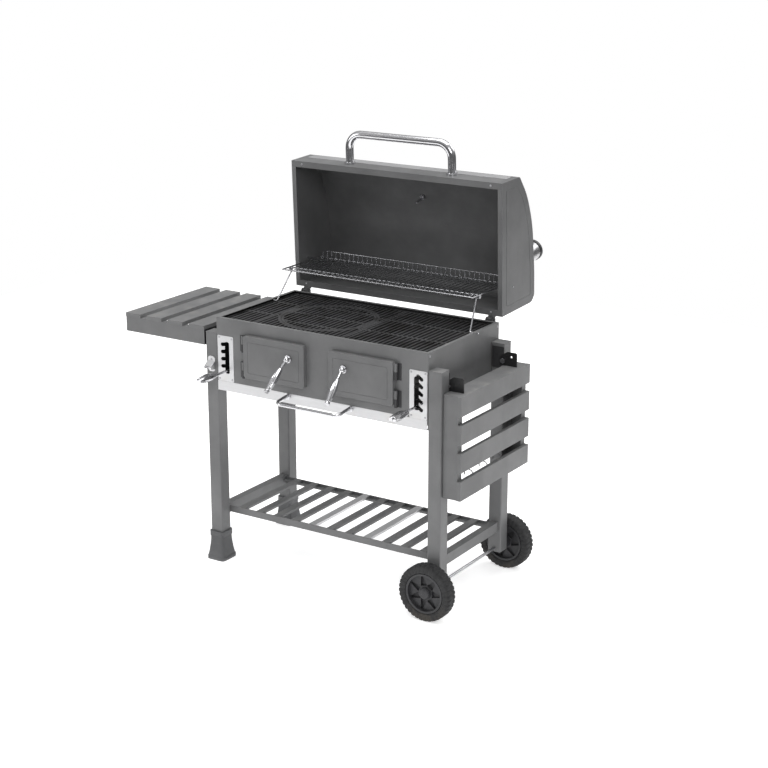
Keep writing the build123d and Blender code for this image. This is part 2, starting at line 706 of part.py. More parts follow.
# ---- warming rack and its swinging legs, a parallelogram with the hood
swing_y = rack_pivot_y - hood_pivot_y
swing_z = rack_z - hood_pivot_z
eye_y = rack_leg_y + swing_y
eye_z = rack_leg_z + swing_z
cross_wire = 1.5
cross_z = rack_z + rack_wire + 0.7
wire_count = 40
wire_pitch = (2 * rack_half - 20) / (wire_count - 1)
with BuildPart() as warming_rack:
    for y in (rack_front, rack_front + 38, rack_back):
        rod_x(rack_wire, (-rack_half, rack_half), y, rack_z)
    for side in (-1, 1):
        rod_y(rack_wire, side * rack_half, (rack_front, rack_back), rack_z)
        ball(rack_wire, side * rack_half, rack_front, rack_z)
        ball(rack_wire, side * rack_half, rack_back, rack_z)
        rod_x(rack_wire, (side * rack_half, side * (lid_half + 2)), rack_pivot_y, rack_z)
        rod_x(6.5, (side * (rack_half - 4), side * (rack_half + 3)), eye_y, eye_z)
        rod_x(rack_wire + gap, (side * (rack_half - 6), side * (rack_half + 5)), eye_y, eye_z, Mode.SUBTRACT)
    with BuildSketch(Plane.XZ.offset(-rack_front)):
        with Locations((0, cross_z)):
            with GridLocations(wire_pitch, 1, wire_count, 1):
                Circle(cross_wire)
    extrude(amount=-(rack_back - rack_front + 2 * cross_wire))
    with BuildSketch(Plane.XY.offset(cross_z)):
        with Locations((0, rack_back + 2 * cross_wire)):
            with GridLocations(wire_pitch, 1, wire_count, 1):
                Circle(cross_wire)
    extrude(amount=rack_fence)
    rod_x(2, (-rack_half + 10, rack_half - 10), rack_back + 2 * cross_wire, cross_z + rack_fence)
keep(warming_rack, "warming_rack")

rack_bend = 4.0
with BuildPart() as rack_legs:
    for side in (-1, 1):
        pin_end = Vector(side * (half_box + 3), rack_leg_y, rack_leg_z)
        foot_point = Vector(side * rack_leg_x, rack_leg_y, rack_leg_z)
        eye_point = Vector(side * rack_leg_top_x, eye_y, eye_z)
        eye_end = Vector(side * (rack_half + 5), eye_y, eye_z)
        with BuildLine():
            FilletPolyline(pin_end, foot_point, eye_point, eye_end, radius=rack_bend)
        with BuildSketch(Plane(origin=pin_end, z_dir=foot_point - pin_end)):
            Circle(rack_wire)
        sweep()
keep(rack_legs, "rack_legs")

# ---- shelf: rails between the legs and slats across them
rail_front = leg_size + 3.0
rail_back = box_depth - leg_size - 3.0
side_rail_in = leg_x - 12.5
with BuildPart() as shelf_frame:
    seat = shelf_top - slat_thickness
    for edge_y, way in ((rail_front, 1), (rail_back, -1)):
        slab((-side_rail_in, side_rail_in), (edge_y, edge_y + way * 2),
             (shelf_top - shelf_rail_height, shelf_top))
        slab((-side_rail_in, side_rail_in), (edge_y, edge_y + way * shelf_rail_width), (seat - 2, seat))
    for side in (-1, 1):
        slab((side * side_rail_in, side * (leg_x + 12.5)), (leg_size, box_depth - leg_size),
             (shelf_top + 4 - shelf_side_height, shelf_top + 4))
        slab((side * (side_rail_in + 2), side * (leg_x + 10.5)), (leg_size + 2, box_depth - leg_size - 2),
             (shelf_top + 3 - shelf_side_height, shelf_top + 2), Mode.SUBTRACT)
keep(shelf_frame, "shelf_frame")

slat_step = 2 * (side_rail_in - 20) / slat_count
bright_slats = (4, 7)


def shelf_slat(index):
    """One pressed slat, open below, resting on both rails."""
    x = (index - (slat_count - 1) / 2) * slat_step
    low_y = rail_front + 2.2
    high_y = rail_back - 2.2
    slab((x - slat_width / 2, x + slat_width / 2), (low_y, high_y), (shelf_top - slat_thickness, shelf_top))
    slab((x - slat_width / 2 + sheet, x + slat_width / 2 - sheet), (low_y + sheet, high_y - sheet),
         (shelf_top - slat_thickness - 1, shelf_top - sheet), Mode.SUBTRACT)


with BuildPart() as shelf_slats:
    for index in range(slat_count):
        if index not in bright_slats:
            shelf_slat(index)
keep(shelf_slats, "shelf_slats")

with BuildPart() as shelf_slats_bright:
    for index in bright_slats:
        shelf_slat(index)
keep(shelf_slats_bright, "shelf_slats_bright")

# ---- axle, wheels and hub caps
wheel_gap = 13.0
wheel_places = {"front": (-wheel_gap - wheel_width, -wheel_gap),
                "rear": (box_depth + wheel_gap, box_depth + wheel_gap + wheel_width)}
axle_low = -wheel_gap - wheel_width + 5
with BuildPart() as axle:
    rod_y(axle_radius, leg_x, (axle_low, box_depth - axle_low), axle_z)
    for y in (-3.5, box_depth + 0.5):
        rod_y(9, leg_x, (y, y + 3), axle_z)
    rod_y(11, leg_x, (axle_low - 4, axle_low), axle_z)
    rod_y(11, leg_x, (box_depth - axle_low, box_depth - axle_low + 4), axle_z)
keep(axle, "axle")

rim_radius = wheel_radius - tyre_depth
rim_rest = rim_radius - hub_radius - 8
web_sheet = 2.0
for word, (y_low, y_high) in wheel_places.items():
    with BuildPart() as tyre:
        rod_y(wheel_radius, leg_x, (y_low, y_high), axle_z)
        fillet(tyre.edges().filter_by(GeomType.CIRCLE), 7)
        rod_y(rim_radius, leg_x, (y_low - 1, y_high + 1), axle_z, Mode.SUBTRACT)
    keep(tyre, "tyre_" + word)

    hub_low = y_low + 6 if word == "front" else y_low - 8
    hub_high = y_high + 8 if word == "front" else y_high - 6
    with BuildPart() as rim:
        with BuildSketch(Plane.XZ.offset(-y_low - 3)):
            with Locations((leg_x, axle_z)):
                Circle(rim_radius)
                Circle(rim_radius - 7, mode=Mode.SUBTRACT)
        extrude(amount=-(wheel_width - 6))
        with BuildSketch(Plane.XZ.offset(-y_low - wheel_width / 2 + 9)):
            with Locations((leg_x, axle_z)):
                Circle(rim_radius - 6)
                with PolarLocations(hub_radius + 4 + rim_rest / 2, spoke_count):
                    Trapezoid(22, rim_rest, 76, rotation=-90, mode=Mode.SUBTRACT)
        extrude(amount=-18)
        with BuildSketch(Plane.XZ.offset(-y_low - wheel_width / 2 + web_sheet / 2)):
            with Locations((leg_x, axle_z)):
                Circle(rim_radius - 6)
        extrude(amount=-web_sheet)
        rod_y(hub_radius, leg_x, (hub_low, hub_high), axle_z)
        rod_y(axle_radius + running_fit, leg_x, (y_low - 20, y_high + 20), axle_z, Mode.SUBTRACT)
    keep(rim, "rim_" + word)

# ---- side tables; u runs out from the pivot and w up, in the raised position
table_far = table_near + table_reach
table_back = table_y + box_depth
rail_top = table_high - table_slat


def table_span(side, u, w):
    """Turns table distances into x and z: the left table is raised, the right one hangs."""
    if side < 0:
        return [-table_pivot_x - value for value in u], [table_pivot_z + value for value in w]
    return [table_pivot_x + value for value in w], [table_pivot_z - value for value in u]


def table_slab(side, u, w, y, mode=Mode.ADD):
    """A block of a side table."""
    x, z = table_span(side, u, w)
    slab(x, y, z, mode)


plate_outline = [(-29.5, 48.5), (-29.5, 14), (-12, -10), (9, -10), (28, table_low + 1), (28, 48.5)]
arm_places = (leg_size + 2.5, box_depth - leg_size - 5.5)
lock_u = -15.0
lock_w = 29.5
lock_stem = 3.4
slat_room = (table_reach - table_slats * table_slat_width) / (table_slats - 1)
hook_wire = 1.6
hook_bend = 12.0
hook_places = (116.0, 204.0, 289.0)
hook_outline = [(table_far - 1, 44), (table_far - 63, 44), (table_far - 63, 16), (table_far - 44, 16)]
for side, word in ((-1, "left"), (1, "right")):
    with BuildPart() as table_frame:
        for low_y in (table_y + 2, table_back - 2 - table_rail):
            table_slab(side, (table_near, table_far), (table_low, rail_top), (low_y, low_y + table_rail))
        for low_u in (table_near, table_far - table_rail):
            table_slab(side, (low_u, low_u + table_rail), (table_low, rail_top),
                       (table_y + 2, table_back - 2))
        table_slab(side, (table_near + box_wall, table_far - box_wall),
                   (table_low + box_wall, rail_top - box_wall),
                   (table_y + 2 + box_wall, table_back - 2 - box_wall), Mode.SUBTRACT)
        for arm_y in arm_places:
            flat = []
            for u, w in plate_outline:
                x, z = table_span(side, [u], [w])
                flat.append((x[0], z[0]))
            with BuildSketch(Plane.XZ.offset(-arm_y)):
                with BuildLine():
                    FilletPolyline(*flat, radius=6, close=True)
                make_face()
            extrude(amount=-3)
        hole_x, hole_z = table_span(side, (0, lock_u), (0, lock_w))
        rod_y(lift_radius + running_fit, hole_x[0], (0, box_depth), hole_z[0], Mode.SUBTRACT)
        for arm_y in arm_places:
            rod_y(lock_stem + running_fit, hole_x[1], (arm_y - 1, arm_y + 4), hole_z[1], Mode.SUBTRACT)
        for hook_y in hook_places:
            wire = []
            for u, w in hook_outline:
                x, z = table_span(side, [u], [w])
                wire.append((x[0], hook_y, z[0]))
            with BuildLine():
                FilletPolyline(*wire, radius=hook_bend)
            way = Vector(*wire[1]) - Vector(*wire[0])
            with BuildSketch(Plane(origin=wire[0], z_dir=way)):
                Circle(hook_wire)
            sweep()
    keep(table_frame, "table_frame_" + word)

    with BuildPart() as table_slat_set:
        for index in range(table_slats):
            u_low = table_near + index * (table_slat_width + slat_room)
            u_high = u_low + table_slat_width
            table_slab(side, (u_low, u_high), (rail_top, table_high), (table_y, table_back))
            table_slab(side, (u_low + box_wall, u_high - box_wall), (rail_top - 1, table_high - box_wall),
                       (table_y + box_wall, table_back - box_wall), Mode.SUBTRACT)
    keep(table_slat_set, "table_slats_" + word)

    with BuildPart() as lock_knob:
        rod_y(lock_stem, hole_x[1], (arm_places[0] + 0.2, arm_places[0] + 6), hole_z[1])
        rod_y(9, hole_x[1], (arm_places[0] + 3.5, arm_places[0] + 14), hole_z[1])
        slab((hole_x[1] - 15, hole_x[1] + 15), (arm_places[0] + 6, arm_places[0] + 11),
             (hole_z[1] - 3, hole_z[1] + 3))
    keep(lock_knob, "lock_knob_" + word)

pivot_faces = ((leg_size, 1), (box_depth - leg_size, -1))
plate_thickness = 2.0
pin_head = 8.0
with BuildPart() as table_pivots:
    for side in (-1, 1):
        for face_y, way in pivot_faces:
            slab((side * (half_box + 4), side * (half_box + leg_size)),
                 (face_y, face_y + way * plate_thickness), (table_pivot_z - 25.5, table_pivot_z + 41.5))
            rod_y(lift_radius, side * table_pivot_x, (face_y - way, face_y + way * (plate_thickness + 1)),
                  table_pivot_z, Mode.SUBTRACT)
keep(table_pivots, "table_pivots")

with BuildPart() as table_pins:
    for side in (-1, 1):
        for face_y, way in pivot_faces:
            rod_y(lift_radius, side * table_pivot_x, (face_y, face_y + way * 7), table_pivot_z)
            rod_y(pin_head, side * table_pivot_x, (face_y + way * 6, face_y + way * 10), table_pivot_z)
keep(table_pins, "table_pins")

# ---- bottle opener on the front left leg
opener_high = leg_top - 77.0
opener_low = opener_high - 50.0
with BuildPart() as bottle_opener:
    with BuildSketch(Plane.XZ):
        with Locations((-leg_x, (opener_low + opener_high) / 2)):
            RectangleRounded(28, opener_high - opener_low, 10)
    extrude(amount=2.5)
    with BuildSketch(Plane.YZ.offset(-leg_x - 14)):
        with BuildLine():
            Polyline((-2.5, opener_high - 14), (-26, opener_low + 18), (-24, opener_low + 12),
                     (-2.5, opener_low + 8), (-2.5, opener_high - 14))
        make_face()
    extrude(amount=28)
    slab((-leg_x - 11, -leg_x + 11), (-30, -4.5), (opener_low, opener_low + 22), Mode.SUBTRACT)
keep(bottle_opener, "bottle_opener")

# ---- screw heads
with BuildPart() as body_screws:
    for side in (-1, 1):
        for x in (plate_inner_x + 6.5, plate_inner_x + plate_width - 6.5):
            for z in (plate_low + 7, plate_high - 7):
                rod_y(2.8, side * x, (-sheet - 1.6, -sheet), z)
        for y in (9.0, box_depth - 9.0):
            rod_x(3.2, (side * half_box, side * (half_box + 1.8)), y, cook_height - 12)
    rod_y(3.2, -leg_x, (-4.3, -2.5), opener_high - 10)
keep(body_screws, "body_screws")

with BuildPart() as hood_screws:
    for x in (40.5 - lid_half, lid_half - 40.5):
        for high in (lid_flange / 2, lid_height - lid_flange / 2):
            with BuildSketch(Plane(origin=hood_point(x, 0, high), z_dir=-deep_dir)):
                Circle(3.5)
            extrude(amount=1.8)
keep(hood_screws, "hood_screws")

# ---- the origin is on the floor, below the middle of the whole cart
boxes = [piece.bounding_box() for piece in pieces.values()]
origin_x = (min(box.min.X for box in boxes) + max(box.max.X for box in boxes)) / 2
origin_y = (min(box.min.Y for box in boxes) + max(box.max.Y for box in boxes)) / 2
for name, piece in pieces.items():
    placed = piece.moved(Location((-origin_x, -origin_y, 0)))
    placed.label = name
    export_step(placed, "parts/" + name + ".step")
print("pieces", len(pieces), "origin", round(origin_x, 4), round(origin_y, 4))
print("top", round(max(box.max.Z for box in boxes), 1), "bottom", round(min(box.min.Z for box in boxes), 3))
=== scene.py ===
import json
from math import cos, pi, radians, sin

import bpy
import numpy as np
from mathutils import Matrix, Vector


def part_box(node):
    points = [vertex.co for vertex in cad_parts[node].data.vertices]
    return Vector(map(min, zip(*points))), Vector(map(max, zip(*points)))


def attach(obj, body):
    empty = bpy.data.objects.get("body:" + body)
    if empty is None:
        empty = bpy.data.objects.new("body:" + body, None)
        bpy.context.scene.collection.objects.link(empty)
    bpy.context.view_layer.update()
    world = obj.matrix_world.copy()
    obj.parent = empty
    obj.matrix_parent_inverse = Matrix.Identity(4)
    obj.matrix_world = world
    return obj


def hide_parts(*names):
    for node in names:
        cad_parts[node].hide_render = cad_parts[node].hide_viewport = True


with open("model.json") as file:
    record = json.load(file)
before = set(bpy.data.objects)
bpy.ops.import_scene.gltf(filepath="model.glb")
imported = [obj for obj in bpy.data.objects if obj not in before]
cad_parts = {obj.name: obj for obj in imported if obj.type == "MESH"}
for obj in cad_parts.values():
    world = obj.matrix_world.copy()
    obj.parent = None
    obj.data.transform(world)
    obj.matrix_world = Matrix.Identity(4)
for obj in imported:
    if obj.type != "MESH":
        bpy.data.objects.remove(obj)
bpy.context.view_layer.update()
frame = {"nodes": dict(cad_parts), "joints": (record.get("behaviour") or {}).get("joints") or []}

jointOf = {joint["name"]: joint for joint in frame["joints"]}
mm = 0.001


def jointPlace(name):
    return np.array(jointOf[name]["pos_m"])


def nodeBox(name):
    low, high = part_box(name)
    return np.array(low), np.array(high)


# shader maths: Python's operators add the Math nodes
class Num:
    def __init__(self, finish, socket):
        self.finish = finish
        self.socket = socket

    def math(self, operation, other=None, swap=False):
        first, second = (other, self) if swap else (self, other)
        sockets = {0: first} if second is None else {0: first, 1: second}
        return self.finish.number("ShaderNodeMath", {"operation": operation}, sockets)

    def __add__(self, other):
        return self.math("ADD", other)

    def __sub__(self, other):
        return self.math("SUBTRACT", other)

    def __rsub__(self, other):
        return self.math("SUBTRACT", other, True)

    def __mul__(self, other):
        return self.math("MULTIPLY", other)

    __radd__ = __add__
    __rmul__ = __mul__

    def clamp(self):
        return self.math("MAXIMUM", 0.0).math("MINIMUM", 1.0)

    def step(self, low, high):
        # smooth 0 to 1 between two values
        node = self.finish.node("ShaderNodeMapRange", {"interpolation_type": "SMOOTHSTEP"},
                                {0: self, 1: low, 2: high, 3: 0.0, 4: 1.0})
        return Num(self.finish, node.outputs[0])


class Finish:
    # one material, its shader, and the nodes that feed it
    def __init__(self, name, **constants):
        self.material = bpy.data.materials.new(name)
        self.material.use_nodes = True
        self.tree = self.material.node_tree
        self.tree.nodes.clear()
        self.shader = self.node("ShaderNodeBsdfPrincipled", {}, constants)
        self.node("ShaderNodeOutputMaterial", {}, {"Surface": self.shader.outputs[0]})
        self.place = self.node("ShaderNodeTexCoord", {}, {}).outputs["Object"]

    def node(self, kind, settings, sockets):
        # settings first (a ramp's stops among them), then values or links of the sockets
        node = self.tree.nodes.new(kind)
        for key, value in settings.items():
            if key == "stops":
                ramp = node.color_ramp
                while len(ramp.elements) < len(value):
                    ramp.elements.new(0.5)
                for element, (at, grey) in zip(ramp.elements, value):
                    element.position = at
                    element.color = (*grey, 1.0) if isinstance(grey, tuple) else (grey, grey, grey, 1.0)
            else:
                setattr(node, key, value)
        for key, value in sockets.items():
            target = node.inputs[key.replace("_", " ")] if isinstance(key, str) else node.inputs[key]
            if isinstance(value, Num):
                self.tree.links.new(value.socket, target)
            elif isinstance(value, bpy.types.NodeSocket):
                self.tree.links.new(value, target)
            elif value is not None:
                target.default_value = value
        return node

    def number(self, kind, settings, sockets, output=0):
        return Num(self, self.node(kind, settings, sockets).outputs[output])

    def stretched(self, scale, turn=(0.0, 0.0, 0.0)):
        # Object coordinates, turned and stretched
        sockets = {"Vector": self.place, "Scale": scale, "Rotation": turn}
        return self.node("ShaderNodeMapping", {}, sockets).outputs[0]

    def noise(self, scale, detail=2.0, rough=0.55, place=None, twist=0.0):
        return self.number("ShaderNodeTexNoise", {}, {
            "Vector": place or self.place, "Scale": scale, "Detail": detail, "Roughness": rough,
            "Distortion": twist})

    def cells(self, scale, feature="F1", place=None):
        return self.number("ShaderNodeTexVoronoi", {"feature": feature}, {
            "Vector": place or self.place, "Scale": scale})

    def mix(self, factor, first, second):
        node = self.node("ShaderNodeMix", {"data_type": "RGBA"}, {})
        for index, value in ((0, factor), (6, first), (7, second)):
            if isinstance(value, (Num, bpy.types.NodeSocket)):
                self.tree.links.new(value.socket if isinstance(value, Num) else value, node.inputs[index])
            else:
                node.inputs[index].default_value = value if index == 0 else (*value, 1.0)
        return node.outputs[2]

    def upward(self):
        # 1 on faces that look up, 0 on the rest
        facing = self.node("ShaderNodeSeparateXYZ", {}, {
            0: self.node("ShaderNodeNewGeometry", {}, {}).outputs["Normal"]})
        return Num(self, facing.outputs[2]).step(0.4, 0.95)

    def heightAbove(self):
        return self.number("ShaderNodeSeparateXYZ", {}, {0: self.place}, 2)

    def inside(self, low, high):
        # 1 within a block, from the distances to its middle
        block = self.node("ShaderNodeSeparateXYZ", {}, {0: self.place})
        mask = None
        for axis in range(3):
            middle, reach = (low[axis] + high[axis]) / 2, (high[axis] - low[axis]) / 2
            away = (Num(self, block.outputs[axis]) - middle).math("ABSOLUTE")
            within = away.math("LESS_THAN", reach)
            mask = within if mask is None else mask * within
        return mask

    def soften(self, radius):
        # a normal that rounds sharp sheet edges
        return self.node("ShaderNodeBevel", {"samples": 4}, {"Radius": radius}).outputs[0]

    def wear(self, radius):
        # 1 along outer edges: how far the rounded normal turns from the flat one
        flat = self.node("ShaderNodeNewGeometry", {}, {}).outputs["Normal"]
        dot = self.node("ShaderNodeVectorMath", {"operation": "DOT_PRODUCT"}, {
            0: self.soften(radius), 1: flat}).outputs["Value"]
        return (1.0 - Num(self, dot)).step(0.03, 0.35)

    def bump(self, height, strength, distance, normal=None):
        sockets = {"Height": height, "Strength": strength, "Distance": distance}
        if normal is not None:
            sockets["Normal"] = normal
        return self.node("ShaderNodeBump", {}, sockets).outputs[0]

    def feed(self, **links):
        for key, value in links.items():
            socket = value.socket if isinstance(value, Num) else value
            self.tree.links.new(socket, self.shader.inputs[key.replace("_", " ")])
        return self.material


# finishes
paint = {
    "grey": (0.118, 0.119, 0.121), "light": (0.150, 0.151, 0.153), "dust": (0.26, 0.25, 0.235),
    "primer": (0.30, 0.30, 0.31), "shadeAndBracketBlack": (0.012, 0.012, 0.013), "peel": 850.0, "mottle": 7.0, "rough": 0.40}


def powderCoat(name, grey, light, rough, dusty, dark=None):
    # satin powder coat: orange peel, faint mottling, dust on ledges, thin wear on edges;
    # dark gives the limits of a block inside which the coat is near-black: painted shade on the inner faces
    # of the firebox, and a bracket's own paint on the table arms
    finish = Finish(name, Specular_IOR_Level=0.5)
    mottle = finish.noise(paint["mottle"], 4.0, 0.6)
    peel = finish.noise(paint["peel"], 2.0, 0.45)
    fleck = finish.cells(420.0).step(0.16, 0.05)
    dust = (finish.upward() * finish.noise(26.0, 5.0, 0.7).step(0.45, 0.72) * dusty).clamp()
    worn = (finish.wear(0.0011) * finish.noise(60.0, 3.0, 0.6).step(0.5, 0.7)).clamp()
    smear = finish.noise(11.0, 3.0, 0.55, finish.stretched((1.0, 1.0, 0.35)), 0.6).step(0.42, 0.7)
    colour = finish.mix(mottle.step(0.3, 0.7), grey, light)
    colour = finish.mix(fleck * 0.10, colour, paint["primer"])
    colour = finish.mix(dust * 0.5, colour, paint["dust"])
    colour = finish.mix(worn * 0.45, colour, paint["primer"])
    # inside the dark block the colour turns near-black: painted shade inside the firebox, the brackets' own
    # black on the table arms
    if dark is not None:
        colour = finish.mix(finish.inside(*dark), colour, paint["shadeAndBracketBlack"])
    height = peel * 0.6 + fleck * 0.2 + mottle * 0.4
    normal = finish.bump(height, 0.16, 0.0006, finish.soften(0.0008))
    return finish.feed(
        Base_Color=colour, Normal=normal,
        Roughness=(rough + smear * 0.09 + dust * 0.25 + peel * 0.05 - worn * 0.05).clamp())


def brushedSteel(name, tone, axis, rough, stain=0.35):
    # rolled and brushed sheet: fine streaks along one axis, soft stains and a few scratches
    finish = Finish(name, Metallic=1.0)
    along = {"x": (1.2, 90.0, 90.0), "y": (90.0, 1.2, 90.0), "z": (90.0, 90.0, 1.2)}[axis]
    streak = finish.noise(14.0, 5.0, 0.7, finish.stretched(along))
    fine = finish.noise(46.0, 3.0, 0.6, finish.stretched(along))
    cloud = finish.noise(9.0, 4.0, 0.62, None, 0.8)
    slanted = finish.stretched((3.0, 60.0, 9.0), (0.3, 0.5, 0.2))
    scratch = finish.noise(30.0, 1.0, 0.4, slanted).step(0.71, 0.76)
    shade = (streak * 0.5 + fine * 0.3 + cloud * 0.35).step(0.25, 0.9)
    colour = finish.mix(shade, tuple(0.80 * value for value in tone), tone)
    colour = finish.mix(cloud.step(0.55, 0.8) * stain, colour, (0.50, 0.47, 0.42))
    normal = finish.bump(streak * 0.6 + fine * 0.6 - scratch * 0.5, 0.10, 0.0003, finish.soften(0.0006))
    return finish.feed(
        Base_Color=colour, Normal=normal,
        Roughness=(rough + fine * 0.14 + cloud * 0.10 - scratch * 0.08).clamp())


def chromePlate(name, tone, rough):
    # bright plating with finger smudges, hairlines and specks
    finish = Finish(name, Metallic=1.0)
    smudge = finish.noise(24.0, 4.0, 0.6, None, 1.1).step(0.45, 0.75)
    hair = finish.noise(160.0, 2.0, 0.5, finish.stretched((1.0, 0.12, 1.0), (0.4, 0.2, 0.9))).step(0.64, 0.70)
    speck = finish.cells(260.0).step(0.10, 0.03) * finish.noise(18.0, 2.0).step(0.52, 0.68)
    colour = finish.mix(smudge * 0.30 + speck * 0.5, tone, (0.33, 0.31, 0.29))
    normal = finish.bump(hair * 0.5 + speck * 0.6 + smudge * 0.2, 0.05, 0.0003, finish.soften(0.0006))
    return finish.feed(
        Base_Color=colour, Normal=normal,
        Roughness=(rough + smudge * 0.12 + hair * 0.10 + speck * 0.3).clamp())


def castIron(name):
    # seasoned casting: sandy pits, oily sheen in patches, grey wear on the bar tops
    finish = Finish(name, Specular_IOR_Level=0.45)
    sand = finish.noise(700.0, 3.0, 0.7)
    pit = finish.cells(330.0).step(0.30, 0.08)
    oil = finish.noise(13.0, 4.0, 0.62, None, 0.5).step(0.42, 0.66)
    rub = finish.upward() * finish.noise(75.0, 4.0, 0.65, finish.stretched((1.0, 0.25, 1.0))).step(0.50, 0.74)
    colour = finish.mix(oil, (0.034, 0.034, 0.036), (0.016, 0.015, 0.015))
    colour = finish.mix(rub * 0.55, colour, (0.105, 0.102, 0.098))
    colour = finish.mix(pit * 0.4, colour, (0.012, 0.011, 0.010))
    normal = finish.bump(sand * 0.8 - pit * 0.6, 0.35, 0.0005, finish.soften(0.0012))
    return finish.feed(
        Base_Color=colour, Normal=normal, Metallic=rub * 0.5,
        Roughness=(0.60 - oil * 0.20 + sand * 0.10 - rub * 0.08).clamp())


def mouldedBlack(name, tone, rough, grain):
    # moulded plastic: fine spark-eroded grain, faint flow marks, grey dust in the grain
    finish = Finish(name, Specular_IOR_Level=0.45)
    leather = finish.cells(grain, "SMOOTH_F1")
    flow = finish.noise(5.0, 3.0, 0.5, None, 1.4)
    dust = (finish.upward() * finish.noise(40.0, 4.0, 0.65).step(0.42, 0.75)).clamp()
    scuff = finish.noise(90.0, 3.0, 0.6, finish.stretched((0.3, 1.0, 1.0), (0.0, 0.6, 0.3))).step(0.66, 0.74)
    colour = finish.mix(flow.step(0.35, 0.7), tone, tuple(1.5 * value for value in tone))
    colour = finish.mix((dust * 0.4 + scuff * 0.3).clamp(), colour, (0.12, 0.118, 0.112))
    normal = finish.bump(leather * 0.7 + scuff * 0.3, 0.25, 0.0004, finish.soften(0.001))
    return finish.feed(
        Base_Color=colour, Normal=normal,
        Roughness=(rough + leather * 0.12 + dust * 0.15 + flow * 0.06).clamp())


def tyreRubber(name):
    # hard tyre: matt, browned by dust low down, fine mould lines
    finish = Finish(name, Specular_IOR_Level=0.35)
    fine = finish.noise(900.0, 2.0, 0.6)
    patch = finish.noise(34.0, 5.0, 0.68)
    earth = (finish.heightAbove().step(0.085, 0.0) * patch.step(0.40, 0.66)).clamp()
    colour = finish.mix(patch.step(0.3, 0.7), (0.018, 0.018, 0.019), (0.032, 0.032, 0.033))
    colour = finish.mix(earth * 0.45, colour, (0.085, 0.072, 0.056))
    normal = finish.bump(fine + patch * 0.6, 0.30, 0.0004)
    return finish.feed(
        Base_Color=colour, Normal=normal,
        Roughness=(0.66 + patch * 0.14 + earth * 0.15).clamp())


def zincSpangle(name):
    # hot-dip sheet: angular spangle, each grain with its own tone and sheen, ash stains
    finish = Finish(name, Metallic=1.0)
    grainNode = finish.node("ShaderNodeTexVoronoi", {}, {"Vector": finish.place, "Scale": 95.0})
    tone = finish.number("ShaderNodeSeparateColor", {}, {0: grainNode.outputs["Color"]})
    stain = finish.noise(15.0, 5.0, 0.66).step(0.46, 0.72)
    colour = finish.mix(tone, (0.42, 0.43, 0.45), (0.62, 0.63, 0.65))
    colour = finish.mix(stain * 0.6, colour, (0.20, 0.19, 0.18))
    normal = finish.bump(tone + stain * 0.3, 0.06, 0.0004, finish.soften(0.0006))
    return finish.feed(
        Base_Color=colour, Normal=normal,
        Roughness=(0.30 + tone * 0.15 + stain * 0.3).clamp())


def dialPaper(name):
    # pale enamelled dial with a faint speckle
    finish = Finish(name)
    speck = finish.noise(600.0, 2.0, 0.5)
    colour = finish.mix(speck, (0.74, 0.73, 0.70), (0.82, 0.81, 0.78))
    return finish.feed(Base_Color=colour, Roughness=(0.35 + speck * 0.1).clamp(),
                       Normal=finish.bump(speck, 0.05, 0.0002))


boxLow, boxHigh = nodeBox("firebox_front")
boxBack = nodeBox("firebox_back")[1][1]
sheetIn = 1.0 * mm
# the inside of the firebox, whose faces get a near-black painted shade
fireboxShadeBlock = ((boxLow[0] + sheetIn, boxLow[1] + sheetIn, 0.0),
             (boxHigh[0] - sheetIn, boxBack - sheetIn, boxHigh[2] - sheetIn))
leftSlats, rightSlats = nodeBox("table_slats_left"), nodeBox("table_slats_right")
leftArms = ((leftSlats[1][0], -1.0, 0.0), (1.0, 1.0, 2.0))
rightArms = ((-1.0, -1.0, rightSlats[1][2]), (1.0, 1.0, 2.0))

finishes = {
    "firebox": powderCoat("fireboxPaint", paint["grey"], paint["light"], paint["rough"], 0.5, fireboxShadeBlock),
    "leftTable": powderCoat("leftTablePaint", paint["grey"], paint["light"], paint["rough"], 0.5, leftArms),
    "rightTable": powderCoat("rightTablePaint", paint["grey"], paint["light"], paint["rough"], 0.5,
                             rightArms),
    "body": powderCoat("bodyPaint", paint["grey"], paint["light"], paint["rough"], 0.6),
    # the hood shell gets a darker copy of the body paint: painted shade, as the inside of the open hood lies
    # in shade
    "shadedHood": powderCoat("shadedHoodPaint", (0.106, 0.107, 0.109), (0.136, 0.137, 0.139), 0.42, 0.3),
    "slat": powderCoat("slatPaint", (0.125, 0.126, 0.128), (0.158, 0.159, 0.161), 0.46, 0.8),
    "blackPaint": powderCoat("blackPaint", (0.022, 0.022, 0.024), (0.036, 0.036, 0.038), 0.45, 0.5),
    "enamel": powderCoat("panEnamel", (0.030, 0.030, 0.032), (0.050, 0.049, 0.048), 0.50, 1.0),
    "stainless": brushedSteel("brushedBand", (0.66, 0.66, 0.67), "x", 0.30),
    "plate": brushedSteel("brushedPlate", (0.70, 0.70, 0.71), "z", 0.32),
    "brightSlat": brushedSteel("brightSlat", (0.74, 0.74, 0.75), "y", 0.28, 0.15),
    "pipe": brushedSteel("pipeSteel", (0.46, 0.46, 0.47), "y", 0.24, 0.5),
    "chrome": chromePlate("chrome", (0.62, 0.62, 0.64), 0.10),
    "wire": chromePlate("wirePlate", (0.52, 0.52, 0.54), 0.20),
    "zinc": chromePlate("zincPlate", (0.46, 0.46, 0.48), 0.28),
    "iron": castIron("castIron"),
    "plastic": mouldedBlack("blackPlastic", (0.021, 0.021, 0.023), 0.40, 520.0),
    "foot": mouldedBlack("footPlastic", (0.075, 0.076, 0.079), 0.46, 480.0),
    "tyre": tyreRubber("tyreRubber"),
    "tray": zincSpangle("zincSheet"),
    "dial": dialPaper("dialFace"),
}
